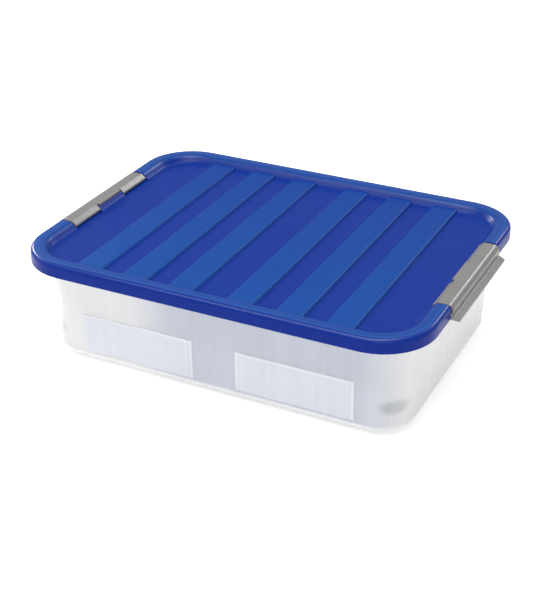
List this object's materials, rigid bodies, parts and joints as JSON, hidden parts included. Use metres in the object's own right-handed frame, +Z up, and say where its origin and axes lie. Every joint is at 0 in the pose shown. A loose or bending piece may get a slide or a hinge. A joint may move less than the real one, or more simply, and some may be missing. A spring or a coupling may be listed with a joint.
{
  "type": "under bed box",
  "caption": "Low translucent storage tub with a ribbed blue clip-on lid, grey end clips and small rollers for sliding under a bed.",
  "frame": {"origin": "on the floor, under the middle of the box", "axes": "+X along the long side towards the right-hand clip, +Y from the front long wall to the back one, +Z up"},
  "size_m": [0.624, 0.456, 0.168],
  "materials": {
    "clear_plastic": "milky translucent natural polypropylene, smooth satin",
    "blue_plastic": "royal blue polypropylene, satin with fine moulded grain",
    "grey_plastic": "warm grey moulded plastic, satin",
    "housing_plastic": "blue-grey moulded plastic",
    "wheel_plastic": "dark moulded plastic",
    "steel": "plain steel pin"
  },
  "bodies": {
    "tub": {"bin": "clear_plastic", "castor_housing_front_left": "housing_plastic", "axle_front_left": "steel", "castor_housing_front_right": "housing_plastic", "axle_front_right": "steel", "castor_housing_back_left": "housing_plastic", "axle_back_left": "steel", "castor_housing_back_right": "housing_plastic", "axle_back_right": "steel"},
    "cover": {"lid": "blue_plastic"},
    "right_clip": {"clip_right": "grey_plastic"},
    "left_clip": {"clip_left": "grey_plastic"},
    "roller_front_left": {"wheel_front_left": "wheel_plastic"},
    "roller_front_right": {"wheel_front_right": "wheel_plastic"},
    "roller_back_left": {"wheel_back_left": "wheel_plastic"},
    "roller_back_right": {"wheel_back_right": "wheel_plastic"}
  },
  "joints": [
    {"name": "lid_lift", "type": "slide", "parent": "tub", "child": "cover", "axis": [0, 0, 1], "range_m": [0, 0.2]},
    {"name": "clip_right_swing", "type": "hinge", "parent": "cover", "child": "right_clip", "pos_m": [0.276, 0, 0.1606], "axis": [0, -1, 0], "range_deg": [0, 100]},
    {"name": "clip_left_swing", "type": "hinge", "parent": "cover", "child": "left_clip", "pos_m": [-0.276, 0, 0.1606], "axis": [0, 1, 0], "range_deg": [0, 100]},
    {"name": "wheel_front_left_spin", "type": "hinge", "parent": "tub", "child": "roller_front_left", "pos_m": [-0.236, -0.124, 0.01], "axis": [0, 1, 0], "continuous": true},
    {"name": "wheel_front_right_spin", "type": "hinge", "parent": "tub", "child": "roller_front_right", "pos_m": [0.236, -0.124, 0.01], "axis": [0, 1, 0], "continuous": true},
    {"name": "wheel_back_left_spin", "type": "hinge", "parent": "tub", "child": "roller_back_left", "pos_m": [-0.236, 0.124, 0.01], "axis": [0, 1, 0], "continuous": true},
    {"name": "wheel_back_right_spin", "type": "hinge", "parent": "tub", "child": "roller_back_right", "pos_m": [0.236, 0.124, 0.01], "axis": [0, 1, 0], "continuous": true}
  ]
}
